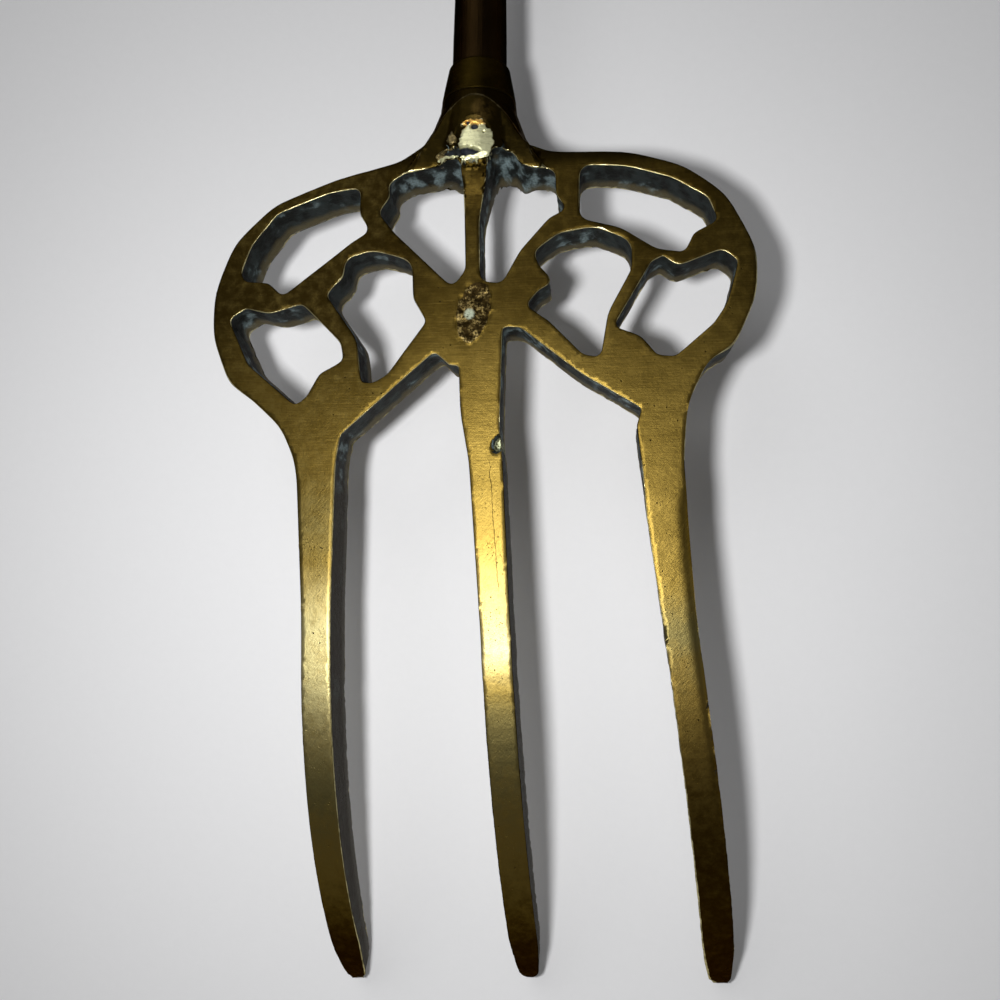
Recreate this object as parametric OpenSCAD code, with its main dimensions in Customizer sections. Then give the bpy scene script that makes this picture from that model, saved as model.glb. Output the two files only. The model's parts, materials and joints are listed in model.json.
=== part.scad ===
// Toasting fork of cast and turned brass, lying on its three tine tips and on the knob of its finial.
// The shaft's axis is drawn along Y at height zero, with the centre of the head's boss at the origin.
// At the end the whole fork is laid down: +Z is up and the tips point to -Y.

/* [Head] */
// Width of the openwork head over its two lobes
head_w = 62; // [50:1:75]
// Thickness of the cast plate and of the tines at their roots
plate_t = 6.2; // [4:0.1:8]
// Diameter of the neck where the ferrule seats on it
neck_d = 8.8; // [8:0.1:9.8]
// Distance from the middle of the boss to the end of the neck
neck_reach = 26.2; // [25:0.1:30]
// Diameter of the swelling where the neck runs into the plate
neck_swell_d = 10.6; // [10:0.1:12]

/* [Tines] */
// Width of each tine along its slender part
tine_w = 3.35; // [2.4:0.05:4.5]
// Width of an outer tine at its root
tine_root_w = 4.6; // [3.6:0.1:6]
// Width of the middle tine at its root
mid_root_w = 3.8; // [3:0.1:5]
// Width of each tine across its blunt tip
tip_w = 2.1; // [1.6:0.1:3]
// Thickness of each tine at its blunt tip
tip_t = 2.6; // [1.8:0.1:4]
// Distance between neighbouring tines at their roots
tine_pitch = 19.4; // [17:0.1:22]
// Distance between the left tine's tip and the middle one's
left_tip_pitch = 21.5; // [18:0.1:26]
// Distance between the right tine's tip and the middle one's
right_tip_pitch = 22.9; // [18:0.1:26]
// Distance from the middle of the boss to the tips
tine_reach = 78.6; // [70:0.2:90]
// Radius that the tines are bent to
bend_r = 54.5; // [46:0.5:80]
// Length of the bent stretch, measured along the head
bend_len = 40; // [25:0.5:44]
// How far the middle tine stops short of the outer two
mid_short = 0.8; // [0:0.1:2]
// Angle between the bend line and a square to the shaft
bend_skew = 2.2; // [0:0.1:5]

/* [Shaft] */
// Diameter of the rod along most of its length
shaft_d = 6.1; // [5.4:0.1:7]
// Diameter of the rod's swelling against the head's ferrule
shaft_swell_d = 6.5; // [5.6:0.1:7.2]
// Length of the swelling
shaft_swell_len = 12; // [6:1:30]
// Length of the rod between the two ferrules
shaft_len = 285; // [200:5:420]
// Diameter of the turned tangs at both ends of the rod
tang_d = 4; // [3:0.1:4.8]
// Depth of the tang in the neck of the head
head_tang_depth = 6; // [4:0.5:6.5]
// Depth of the tang in the finial
finial_tang_depth = 7; // [5:0.5:9]

/* [Ferrules] */
// Length of each ferrule
ferrule_len = 4.4; // [3:0.1:6]
// Diameter of a ferrule's narrow end, towards the rod
ferrule_small_d = 7.4; // [6.8:0.1:8]
// Rounding of the narrow end's rim
ferrule_round = 0.5; // [0.3:0.1:0.8]

/* [Finial] */
// Diameter of the knob that the fork rests on
knob_d = 14; // [12:0.5:18]
// Diameter of the turned foot that seats on the ferrule
foot_d = 8.6; // [7.6:0.1:9.6]
// Diameter of the waist between the foot and the knob
waist_d = 6.4; // [6:0.1:7.4]
// Width over the two ears that hold the ring
ears_w = 8.4; // [7:0.1:10]
// Height over the two ears
ears_h = 8.2; // [7.6:0.1:10]
// Length from the knob's centre to the rivet
ears_reach = 15; // [14:0.5:20]

/* [Hanging ring] */
// Inside diameter of the ring
ring_bore_d = 19; // [14:0.5:22]
// Outside diameter of the ring
ring_d = 27; // [24:0.5:32]
// Thickness of the ring and of its lug
ring_t = 3; // [2:0.1:3.6]
// Bevel along the ring's edges
ring_bevel = 0.5; // [0.2:0.1:0.8]
// Distance from the rivet to the centre of the ring
ring_offset = 17.5; // [17:0.5:22]
// Diameter of the rivet's shank
rivet_d = 2.4; // [1.8:0.1:3]
// Diameter of the rivet's domed heads
rivet_head_d = 4.4; // [3.6:0.1:5.2]
// Height of the rivet's domed heads
rivet_head_h = 1.1; // [0.8:0.1:1.6]

/* [Braze] */
// Width of the bead of braze on top of the neck
braze_d = 6; // [4:0.1:7]
// Depth that the bead fills below the neck's top
braze_depth = 0.9; // [0.5:0.1:1.2]
// Height of the bead above the neck's top
braze_rise = 0.6; // [0.3:0.1:1.2]

/* [Fits] */
// Gap round each tang in its socket
tang_gap = 0.05; // [0.02:0.01:0.1]
// Gap between the rivet's shank and the ring's lug
rivet_gap = 0.05; // [0.02:0.01:0.1]
// Gap between the rivet's shank and the ears
ear_gap = 0.02; // [0.01:0.01:0.05]
// Gap on each side of the lug in its slot
slot_gap = 0.1; // [0.05:0.01:0.2]

/* [Hidden] */
$fn = 96;

// The head's outlines are drawn on a plate 62 mm wide and grow with head_w.
drawn_w = 62;
head_scale = head_w / drawn_w;

// Heights above and below the shaft's axis.
plate_top = plate_t / 2;
tall = 60;

// Tines: x of the middle tine at its root and tip, and the stations along all three.
mid_root_x = 1.7 * head_scale;
mid_tip_x = 5.9 * head_scale;
root_y = -17 * head_scale;
slim_y = root_y - 17;
tip_taper = 6;
tip_round = 0.9;
right_bow = 0.35;
bend_start = -tine_reach + bend_len;
bend_angle = asin(bend_len / bend_r);
bend_steps = 24;

// Stations along the shaft's axis, from the neck to the ring.
ferrule_y = neck_reach;
shaft_y = ferrule_y + ferrule_len;
end_ferrule_y = shaft_y + shaft_len;
finial_y = end_ferrule_y + ferrule_len;
foot_len = 1.6;
waist_len = 3.4;
bead_rise = 1;
bead_y = finial_y + foot_len + waist_len;
knob_y = bead_y + knob_d / 2 + 0.6;
collar_r = ears_w / 2 + 0.6;
collar_y = knob_y + knob_d / 2 + 0.4;
rivet_y = knob_y + ears_reach;
ring_y = rivet_y + ring_offset;
lug_w = 6.4;
slot_floor = 4.2;

// How the fork lies: the tips' lowest edge and the knob share one level.
tip_low_y = bend_start - (bend_r - tip_t) * sin(bend_angle);
tip_low_z = plate_top - bend_r + (bend_r - tip_t) * cos(bend_angle);
lay_run = knob_y - tip_low_y;
lay_angle = atan(-tip_low_z / lay_run) - asin(knob_d / 2 / norm([lay_run, tip_low_z]));
lay_height = tip_low_y * sin(lay_angle) - tip_low_z * cos(lay_angle);

// Middle of the laid fork, which becomes the origin.
left_lobe_x = -30.5 * head_scale;
right_lobe_x = 31.5 * head_scale;
tip_end_z = plate_top - bend_r * (1 - cos(bend_angle));
left_tip_y = -tine_reach - left_tip_pitch * tan(bend_skew);
fork_mid_x = (left_lobe_x + right_lobe_x) / 2;
tips_end_y = left_tip_y * cos(lay_angle) + tip_end_z * sin(lay_angle);
ring_end_y = (ring_y + ring_d / 2) * cos(lay_angle);
fork_mid_y = (tips_end_y + ring_end_y) / 2;

// Corners of an outline are [x, y, radius]. This gives the points of the rounded outline.
function unit(v) = v / norm(v);
function turn(a, b) = acos(max(-1, min(1, a * b)));
function corner_points(before, corner, after) =
    let (
        here = [corner.x, corner.y],
        to_before = unit([before.x, before.y] - here),
        to_after = unit([after.x, after.y] - here),
        half = turn(to_before, to_after) / 2,
        room = 0.48 * min(norm([before.x, before.y] - here), norm([after.x, after.y] - here)),
        radius = min(corner[2], room * tan(half)),
        middle = here + unit(to_before + to_after) * radius / sin(half),
        first = here + to_before * radius / tan(half) - middle,
        last = here + to_after * radius / tan(half) - middle,
        sweep = 180 - 2 * half,
        steps = max(2, ceil(sweep / 9))
    )
    radius < 0.01 ? [here] :
    [for (i = [0:steps])
        let (
            share = i / steps,
            mixed = first * sin((1 - share) * sweep) + last * sin(share * sweep)
        )
        middle + unit(mixed) * radius];
function rounded(corners) =
    let (n = len(corners))
    [for (i = [0:n - 1])
        each corner_points(corners[(i + n - 1) % n], corners[i], corners[(i + 1) % n])];
function grown(corners) = [for (c = corners) c * head_scale];

// Openings of the head, each as its corners on the drawn plate, named by side and row.
left_lobe_top = [
    [-27.7, 4.3, 1.1], [-26.2, 8.6, 3], [-23.2, 12.4, 1.8], [-17, 14.7, 4], [-13.3, 15.2, 0.8],
    [-13.4, 12, 1.5], [-12.1, 10, 0.9], [-14.2, 8.7, 2], [-22.3, 2.4, 0.9], [-24, 4.1, 1.5]
];
left_lobe_low = [
    [-28.6, -0.2, 0.8], [-26.6, 1.1, 0.9], [-23.7, 0.3, 3], [-19.9, 1.5, 1], [-15.2, -3.2, 1.2],
    [-14.8, -5.3, 1], [-17.6, -6.8, 1.5], [-19, -9.4, 1], [-20.3, -10.5, 0.8], [-26.1, -5.6, 1.5]
];
left_heart = [
    [-17.1, 2.5, 0.8], [-15.1, 4.6, 1], [-14.9, 6.8, 1.5], [-11.6, 7.6, 3], [-7.1, 6.3, 1.8],
    [-6.9, 1.8, 2], [-5.3, -0.9, 0.8], [-6.4, -2.4, 1.5], [-9.7, -7, 1.5], [-11.4, -8, 1.5],
    [-12.7, -7.8, 0.6], [-13.3, -2.9, 4]
];
left_spandrel = [
    [-10.1, 15.6, 1.2], [-8.2, 16.7, 2], [-3.9, 17.4, 3], [-1.6, 17.4, 0.6], [-1.2, 14.5, 3], [-0.9, 5, 1.6],
    [-2.4, 3, 0.9], [-9.2, 9.6, 2], [-11.2, 12.1, 1], [-9.8, 14, 1]
];
right_spandrel = [
    [1.6, 16.3, 3], [2.2, 18.8, 1], [4.4, 18.7, 0.9], [5.2, 17.4, 0.9], [6.4, 16.9, 1.5], [9.3, 16.6, 1.1],
    [9.3, 13.6, 1.2], [10.6, 11.9, 0.7], [8.6, 10.9, 1.5], [5.3, 7.1, 3], [3.3, 3.4, 1.1],
    [0.8, 3.6, 1.2], [0.6, 11, 6]
];
right_lobe_top = [
    [12, 17, 1.2], [17.2, 16.7, 4], [22.4, 15.1, 4], [26.3, 12.7, 1.5], [27.4, 10, 0.8],
    [24.7, 8.6, 1.2], [23.7, 6.4, 1], [20.6, 6.9, 2], [16.6, 9.5, 4], [12, 10.7, 1.4]
];
right_heart = [
    [6.9, 7, 1], [9.6, 9, 2], [13.6, 9.7, 3], [17.9, 7.9, 2], [17.8, 4.6, 2], [15.2, -0.3, 4],
    [14.4, -5.4, 0.8], [12.4, -5, 1.5], [8.6, -1.1, 2], [6, 0.7, 0.7], [7.4, 2.4, 1.2],
    [9.2, 3.4, 0.8], [7.4, 5.4, 1.2]
];
right_lobe_low = [
    [20, 5.4, 0.6], [21.3, 6.1, 0.6], [22.9, 4.8, 1.2], [27.8, 6.7, 1.2], [29.5, 5.3, 0.8],
    [28.3, 0.6, 4], [26.8, -1.7, 2], [22.6, -5.4, 1.2], [20.6, -5.2, 1], [18.8, -3, 2],
    [15.8, -1.9, 0.7]
];
openings = [
    left_lobe_top, left_lobe_low, left_heart, left_spandrel,
    right_spandrel, right_lobe_top, right_heart, right_lobe_low
];

// Outer edge of the plate, from the neck round the right lobe and from the left lobe back to the neck.
right_lobe_edge = [
    [5, 20.4, 1.6], [8.4, 18.7, 3], [17.5, 18.4, 6], [23.5, 16.6, 8], [28.3, 13.1, 6], [31.6, 6.5, 6],
    [31.5, 1.5, 6], [28.9, -4.6, 2.5], [26.2, -5.6, 2], [23.8, -10.8, 6]
];
left_lobe_edge = [
    [-22, -12.9, 3], [-25.4, -9.8, 3], [-28.3, -7.8, 3], [-30.5, -2.2, 6], [-30.5, 3, 8],
    [-28.3, 9, 6], [-23.6, 13.5, 6], [-16, 16.4, 6], [-8.6, 18.2, 2], [-6, 20, 1.5]
];
// Crotches between the tines, each from its right tine to its left one.
right_crotch = [
    [18.3, -13.1, 1], [18.9, -11.2, 0.5], [12.1, -7.1, 8], [5.4, -1.8, 0.9], [3.4, -1.7, 0.5],
    [3.2, -13.2, 3]
];
left_crotch = [
    [-1.1, -12.2, 1], [-1.3, -10.5, 2], [-1.5, -6.1, 0.4], [-2.6, -6, 0.5], [-4.3, -4.4, 0.7],
    [-14.9, -13.9, 0.5]
];

// One tine's corners, down its right side and up its left one. It bows inwards, to its left.
function tine_edge(root_x, tip_x, root_w, short, bow) =
    let (
        end_y = -tine_reach + (tip_x - mid_tip_x) * tan(bend_skew) + short,
        run = (slim_y - root_y) / (end_y - root_y),
        slim_x = root_x + (tip_x - root_x) * run - bow,
        taper_x = root_x + (tip_x - root_x) * (end_y + tip_taper - root_y) / (end_y - root_y)
    )
    [
        [root_x + root_w / 2, root_y, 12],
        [slim_x + tine_w / 2, slim_y, 60],
        [taper_x + tine_w / 2, end_y + tip_taper, 8],
        [tip_x + tip_w / 2, end_y, tip_round],
        [tip_x - tip_w / 2, end_y, tip_round],
        [taper_x - tine_w / 2, end_y + tip_taper, 8],
        [slim_x - tine_w / 2, slim_y, 60],
        [root_x - root_w / 2, root_y, 12]
    ];

function plate_edge() = concat(
    [[4, neck_reach - 3, 0]],
    grown(right_lobe_edge),
    tine_edge(mid_root_x + tine_pitch, mid_tip_x + right_tip_pitch, tine_root_w, 0, right_bow),
    grown(right_crotch),
    tine_edge(mid_root_x, mid_tip_x, mid_root_w, mid_short, 0),
    grown(left_crotch),
    tine_edge(mid_root_x - tine_pitch, mid_tip_x - left_tip_pitch, tine_root_w, 0, 0),
    grown(left_lobe_edge),
    [[-4, neck_reach - 3, 0]]
);

// Side view of the casting: flat as far as the bend, then down the arc while it grows thinner.
function bend_point(angle, below) = [
    bend_start - (bend_r - below) * sin(angle),
    plate_top - bend_r + (bend_r - below) * cos(angle)
];
function thickness_at(share) = plate_t - (plate_t - tip_t) * pow(share, 1.6);
side_view = concat(
    [[tall, -plate_top], [tall, plate_top]],
    [for (i = [0:bend_steps]) bend_point(bend_angle * i / bend_steps, 0)],
    [for (i = [bend_steps:-1:0]) bend_point(bend_angle * i / bend_steps, thickness_at(i / bend_steps))]
);

module lay_down() {
    translate([-fork_mid_x, -fork_mid_y, lay_height])
        rotate([-lay_angle, 0, 0])
            children();
}

// Turns a profile of [radius, y] points about the shaft's axis.
module turned(profile) {
    rotate([-90, 0, 0])
        rotate_extrude()
            polygon(profile);
}

// Round bar along the shaft's axis.
module bar(from, to, d) {
    translate([0, from, 0])
        rotate([-90, 0, 0])
            cylinder(h = to - from, d = d);
}

module through_plate(outline) {
    translate([0, 0, -tall / 2])
        linear_extrude(height = tall)
            polygon(outline);
}

// Prism of a side view, as wide as the head and square to the bend line.
module across_head(outline, skew) {
    rotate([0, 0, skew])
        translate([-tall, 0, 0])
            rotate([90, 0, 90])
                linear_extrude(height = 2 * tall)
                    polygon(outline);
}

// Neck: a low ramp, a round swelling on the shaft's axis, and a flatter flare that runs out into the plate.
neck_root_y = 12.4 * head_scale;
neck_step = 1.1;
neck_step_y = 16.2 * head_scale;
swell_y = 18.6 * head_scale;
flare_y = 16.6 * head_scale;
flare_r = 9 * head_scale;
flare_rise = 0.7;
module neck() {
    swell_r = neck_swell_d / 2;
    end_r = neck_d / 2;
    turned([
        [0, neck_root_y], [plate_top - 0.3, neck_root_y], [plate_top + neck_step, neck_step_y],
        [swell_r, neck_step_y + 1], [swell_r, swell_y], [end_r, neck_reach], [0, neck_reach]
    ]);
    intersection() {
        turned([
            [0, flare_y], [flare_r, flare_y], [swell_r + 1.6, swell_y + 1],
            [swell_r + 0.5, swell_y + 2.8], [end_r, neck_reach - 1], [0, neck_reach - 1]
        ]);
        across_head([
            [flare_y - 1, -plate_top + 0.1], [swell_y + 2, -plate_top - flare_rise],
            [neck_reach, -plate_top - flare_rise], [neck_reach, plate_top + flare_rise],
            [swell_y + 2, plate_top + flare_rise], [flare_y - 1, plate_top - 0.1]
        ], 0);
    }
}

// Braze bead: where it lies, and the two spheres that meet in its rim.
braze_y = swell_y + 1.4;
braze_top = neck_swell_d / 2 - 0.3;
function cap_radius(d, h) = (d * d / 4 + h * h) / (2 * h);
module braze_pocket() {
    pocket_r = cap_radius(braze_d, braze_depth);
    translate([0, braze_y, braze_top + pocket_r - braze_depth])
        sphere(r = pocket_r);
}
module braze_dome() {
    dome_r = cap_radius(braze_d, braze_rise);
    translate([0, braze_y, braze_top - dome_r + braze_rise])
        sphere(r = dome_r);
}

module head_openings() {
    for (opening = openings)
        through_plate(rounded(grown(opening)));
}

module fork_head() {
    color("darkgoldenrod")
        lay_down()
            difference() {
                union() {
                    intersection() {
                        through_plate(rounded(plate_edge()));
                        across_head(side_view, bend_skew);
                    }
                    neck();
                }
                head_openings();
                bar(neck_reach - head_tang_depth - 0.5, neck_reach + 1, tang_d + 2 * tang_gap);
                braze_pocket();
            }
}

module neck_braze() {
    color("khaki")
        lay_down()
            difference() {
                intersection() {
                    braze_pocket();
                    braze_dome();
                }
                head_openings();
            }
}

// Ferrule with its wide end at the given end of a seat and its narrow end towards the rod.
module ferrule(wide_d) {
    narrow_r = ferrule_small_d / 2;
    bore_r = tang_d / 2 + tang_gap;
    turned(concat(
        [[bore_r, 0], [wide_d / 2 - 0.15, 0], [wide_d / 2, 0.15], [wide_d / 2 - 0.2, 0.3 * ferrule_len]],
        [for (a = [0:15:90]) [
            narrow_r - ferrule_round * (1 - cos(a)),
            ferrule_len - ferrule_round * (1 - sin(a))
        ]],
        [[bore_r, ferrule_len]]
    ));
}

module neck_ferrule() {
    color("saddlebrown")
        lay_down()
            translate([0, ferrule_y, 0])
                ferrule(neck_d);
}

module shaft() {
    color("sienna")
        lay_down()
            turned([
                [0, ferrule_y - head_tang_depth], [tang_d / 2, ferrule_y - head_tang_depth],
                [tang_d / 2, shaft_y], [shaft_swell_d / 2, shaft_y],
                [shaft_swell_d / 2 - 0.04, shaft_y + 0.3 * shaft_swell_len],
                [shaft_d / 2, shaft_y + shaft_swell_len],
                [shaft_d / 2, end_ferrule_y], [tang_d / 2, end_ferrule_y],
                [tang_d / 2, finial_y + finial_tang_depth], [0, finial_y + finial_tang_depth]
            ]);
}

module end_ferrule() {
    color("saddlebrown")
        lay_down()
            translate([0, finial_y, 0])
                mirror([0, 1, 0])
                    ferrule(foot_d);
}

module finial() {
    color("peru")
        lay_down()
            difference() {
                union() {
                    turned(rounded([
                        [0, finial_y, 0], [foot_d / 2, finial_y, 0.2],
                        [foot_d / 2, finial_y + foot_len, 0.5],
                        [waist_d / 2, finial_y + foot_len + 0.4, 0.8], [waist_d / 2, bead_y - 1.4, 0.8],
                        [waist_d / 2 + bead_rise, bead_y - 0.9, 0.7],
                        [waist_d / 2 + bead_rise, bead_y + 0.9, 0.7],
                        [waist_d / 2, bead_y + 1.2, 0], [waist_d / 2, knob_y, 0], [0, knob_y, 0]
                    ]));
                    translate([0, knob_y, 0])
                        sphere(d = knob_d);
                    turned(rounded([
                        [0, knob_y, 0], [collar_r, knob_y, 0], [collar_r, collar_y, 0.5],
                        [0, collar_y, 0]
                    ]));
                    intersection() {
                        translate([-ears_w / 2, knob_y, -ears_h / 2])
                            cube([ears_w, ears_reach + ears_w / 2, ears_h]);
                        union() {
                            translate([0, rivet_y, -ears_h])
                                cylinder(h = 2 * ears_h, d = ears_w);
                            translate([-ears_w / 2, knob_y, -ears_h])
                                cube([ears_w, ears_reach, 2 * ears_h]);
                        }
                    }
                }
                translate([-ears_w, rivet_y - slot_floor, -ring_t / 2 - slot_gap])
                    cube([2 * ears_w, 2 * ears_reach, ring_t + 2 * slot_gap]);
                translate([0, rivet_y, -ears_h])
                    cylinder(h = 2 * ears_h, d = rivet_d + 2 * ear_gap);
                bar(finial_y - 1, finial_y + finial_tang_depth + 0.5, tang_d + 2 * tang_gap);
            }
}

module ring_rivet() {
    head_r = cap_radius(rivet_head_d, rivet_head_h);
    color("gold")
        lay_down()
            translate([0, rivet_y, 0]) {
                cylinder(h = ears_h, d = rivet_d, center = true);
                for (side = [0, 1])
                    mirror([0, 0, side])
                        intersection() {
                            translate([0, 0, ears_h / 2 + rivet_head_h - head_r])
                                sphere(r = head_r);
                            translate([0, 0, ears_h / 2])
                                cylinder(h = 2 * rivet_head_h, d = 2 * rivet_head_d);
                        }
            }
}

module hanging_ring() {
    inner = ring_bore_d / 2;
    outer = ring_d / 2;
    flat_half = ring_t / 2 - ring_bevel;
    color("goldenrod")
        lay_down()
            difference() {
                union() {
                    translate([0, ring_y, 0])
                        rotate_extrude()
                            polygon([
                                [inner, -flat_half], [inner + ring_bevel, -ring_t / 2],
                                [outer - ring_bevel, -ring_t / 2], [outer, -flat_half],
                                [outer, flat_half], [outer - ring_bevel, ring_t / 2],
                                [inner + ring_bevel, ring_t / 2], [inner, flat_half]
                            ]);
                    translate([0, rivet_y, -ring_t / 2])
                        cylinder(h = ring_t, d = lug_w);
                    translate([-lug_w / 2, rivet_y, -ring_t / 2])
                        cube([lug_w, ring_offset - inner - 1.2, ring_t]);
                }
                translate([0, rivet_y, -ring_t])
                    cylinder(h = 2 * ring_t, d = rivet_d + 2 * rivet_gap);
            }
}

fork_head();
neck_braze();
neck_ferrule();
shaft();
end_ferrule();
finial();
ring_rivet();
hanging_ring();
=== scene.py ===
"""Toasting fork of cast and turned brass, lying on a pale table."""
import json
import math

import bmesh
import bpy
import numpy as np
from bpy.props import FloatProperty, FloatVectorProperty, IntProperty, PointerProperty
from bpy.types import Operator, Panel, PropertyGroup
from mathutils import Matrix, Vector, kdtree, noise
from mathutils.bvhtree import BVHTree


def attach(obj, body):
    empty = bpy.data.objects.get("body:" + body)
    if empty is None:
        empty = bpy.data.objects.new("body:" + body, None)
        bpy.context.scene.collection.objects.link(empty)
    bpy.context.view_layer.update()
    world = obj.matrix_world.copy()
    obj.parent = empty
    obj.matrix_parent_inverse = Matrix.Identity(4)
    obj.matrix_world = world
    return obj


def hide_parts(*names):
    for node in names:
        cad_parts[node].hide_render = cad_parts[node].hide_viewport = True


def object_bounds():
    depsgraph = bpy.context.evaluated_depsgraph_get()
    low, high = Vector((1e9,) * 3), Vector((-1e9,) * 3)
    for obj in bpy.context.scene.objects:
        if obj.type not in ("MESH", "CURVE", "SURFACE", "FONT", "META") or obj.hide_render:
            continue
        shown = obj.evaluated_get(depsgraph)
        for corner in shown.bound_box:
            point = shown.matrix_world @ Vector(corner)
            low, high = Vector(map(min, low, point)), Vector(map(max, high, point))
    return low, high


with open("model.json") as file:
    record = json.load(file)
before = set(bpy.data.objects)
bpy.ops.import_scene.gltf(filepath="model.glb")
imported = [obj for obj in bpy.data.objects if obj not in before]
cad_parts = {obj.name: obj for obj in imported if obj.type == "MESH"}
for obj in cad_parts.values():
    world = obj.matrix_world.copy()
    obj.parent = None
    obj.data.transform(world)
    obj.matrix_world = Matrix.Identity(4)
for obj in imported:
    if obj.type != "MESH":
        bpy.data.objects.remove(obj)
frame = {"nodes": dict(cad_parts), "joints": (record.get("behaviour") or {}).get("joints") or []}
CAD_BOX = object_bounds()

bl_info = {
    "name": "Toasting Fork",
    "version": (1, 0, 0),
    "blender": (4, 5, 0),
    "location": "View3D > Sidebar > Toasting Fork",
    "description": "Dresses a brass toasting fork with its cast, turned and worn surfaces",
    "category": "Add Mesh",
}

MM = 0.001

# The fork's own axes: x across the head, y along the handle, z out of the plate's top face.
# They are found from the rivet of the hanging ring, which stands square to the plate.
RIVET = frame["joints"][0]
RIVET_REACH = 347.6
ACROSS = Vector((1, 0, 0))
UP = Vector(RIVET["axis"]).normalized()
ALONG = UP.cross(ACROSS).normalized()
BOSS = Vector(RIVET["pos_m"]) - ALONG * RIVET_REACH * MM
FORK_AXES = Matrix((ACROSS, ALONG, UP)).transposed()

# Places on the head, in millimetres from the middle of the boss.
PLATE_TOP = 3.1
BEND_START = -38.6
BEND_RADIUS = 54.5
BOSS_PIT = (0.05, 0.1)
NOTCH_PLACE = (3.15, -15.0)
NOTCH_TURN = -25.0
FINE_PATCHES = ((BOSS_PIT, (2.6, 4.2)), (NOTCH_PLACE, (1.6, 1.6)))
RAMP_START = 11.5
RAMP_END = 16.7
NECK_END = 26.2

# How far each tine is aged, and how much painted highlight it gets where it bends, at shares of its length: 0 not at
# all, 1 fully.
# Ageing runs from gold over grey-green to brown, and also holds painted shade where each tine's highlight fades. The
# tines are told apart by their side of the head.
LEFT_AGEING_AND_PAINTED_SHADE = ((0.0, 0.12, 0.3, 0.5, 0.65, 0.9), (0.1, 0.25, 0.0, 0.2, 0.6, 1.0))
MIDDLE_AGEING_AND_PAINTED_SHADE = ((0.0, 0.34, 0.46, 0.6, 0.9), (0.0, 0.0, 0.4, 0.6, 1.0))
RIGHT_AGEING_AND_PAINTED_SHADE = ((0.0, 0.2, 0.34, 0.5, 0.7), (0.0, 0.05, 0.6, 0.85, 1.0))
LEFT_PAINTED_HIGHLIGHT = ((0.18, 0.3, 0.42, 0.62), (0.0, 0.75, 0.7, 0.0))
MIDDLE_PAINTED_HIGHLIGHT = ((0.15, 0.27, 0.34, 0.4), (0.0, 0.35, 0.7, 0.0))
TINE_SIDE = 10.0

# Braze: the hollow slot, small pits, and the pools the metal ran into.
# Each pool has its middle, reach, turn in degrees, rise and brightness.
SLOT_PLACE = (-1.4, 18.25)
SLOT_REACH = (2.15, 0.5)
SLOT_TURN = -6.0
BRAZE_PITS = (((-0.6, 21.65), 0.26), ((0.15, 21.1), 0.42), ((-1.5, 20.0), 0.18), ((1.2, 20.4), 0.15))
BRAZE_POOLS = (
    ((0.35, 19.5), (1.95, 1.95), 0.0, 0.25, 1.0),
    ((0.25, 17.5), (1.75, 0.42), 4.0, 0.28, 1.0),
    ((-2.7, 17.78), (1.8, 0.24), -2.0, 0.24, 0.9),
    ((1.15, 18.2), (0.8, 0.9), 20.0, 0.3, 1.0),
    ((-3.3, 18.2), (1.25, 0.75), -10.0, 0.24, 0.3),
    ((0.05, 21.6), (1.5, 0.45), 0.0, 0.3, 0.6),
    ((-2.5, 20.0), (0.55, 0.95), 15.0, 0.2, 0.25),
)


def place(x, y, z=0.0):
    """Point of the part's frame, in metres, from millimetres along the fork's own axes."""
    return BOSS + FORK_AXES @ Vector((x, y, z)) * MM


def to_fork(points):
    """Millimetres along the fork's own axes, from an array of points of the part's frame."""
    return (points - np.array(BOSS)) @ np.array(FORK_AXES) / MM


def smooth_step(low, high, values):
    share = np.clip((values - low) / (high - low), 0.0, 1.0)
    return share * share * (3.0 - 2.0 * share)


def noise_at(points, size, seed=0.0):
    """Noise from -1 to 1 with lumps about size millimetres across."""
    shift = Vector((7.3 * seed, 3.1 * seed, 5.7 * seed))
    return np.array([noise.noise(Vector(p) / size + shift) for p in points])


class CastingSettings(PropertyGroup):
    """Surface of the cast head"""
    grain: FloatProperty(
        name="Grain", description="Size of the mesh's even cells",
        default=0.5 * MM, min=0.2 * MM, max=1.0 * MM, subtype="DISTANCE", unit="LENGTH", precision=5)
    edge_width: FloatProperty(
        name="Edge width", description="Width of the worn bevel along every rim",
        default=0.1 * MM, min=0.0, max=0.3 * MM, subtype="DISTANCE", unit="LENGTH", precision=5)
    opening_rounds: IntProperty(
        name="Opening rounds", description="Rounds of sideways smoothing on the outlines of the openings",
        default=8, min=0, max=40)
    outline_rounds: IntProperty(
        name="Outline rounds", description="Rounds of sideways smoothing on the outer outline and the tines",
        default=36, min=0, max=120)
    crust_depth: FloatProperty(
        name="Crust depth", description="Depth of the rough skin on the walls of the openings",
        default=0.22 * MM, min=0.0, max=0.6 * MM, subtype="DISTANCE", unit="LENGTH", precision=5)
    pit_depth: FloatProperty(
        name="Boss pit depth", description="Depth of the rough pit in the middle of the head",
        default=0.4 * MM, min=0.0, max=2.0 * MM, subtype="DISTANCE", unit="LENGTH", precision=5)


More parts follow.
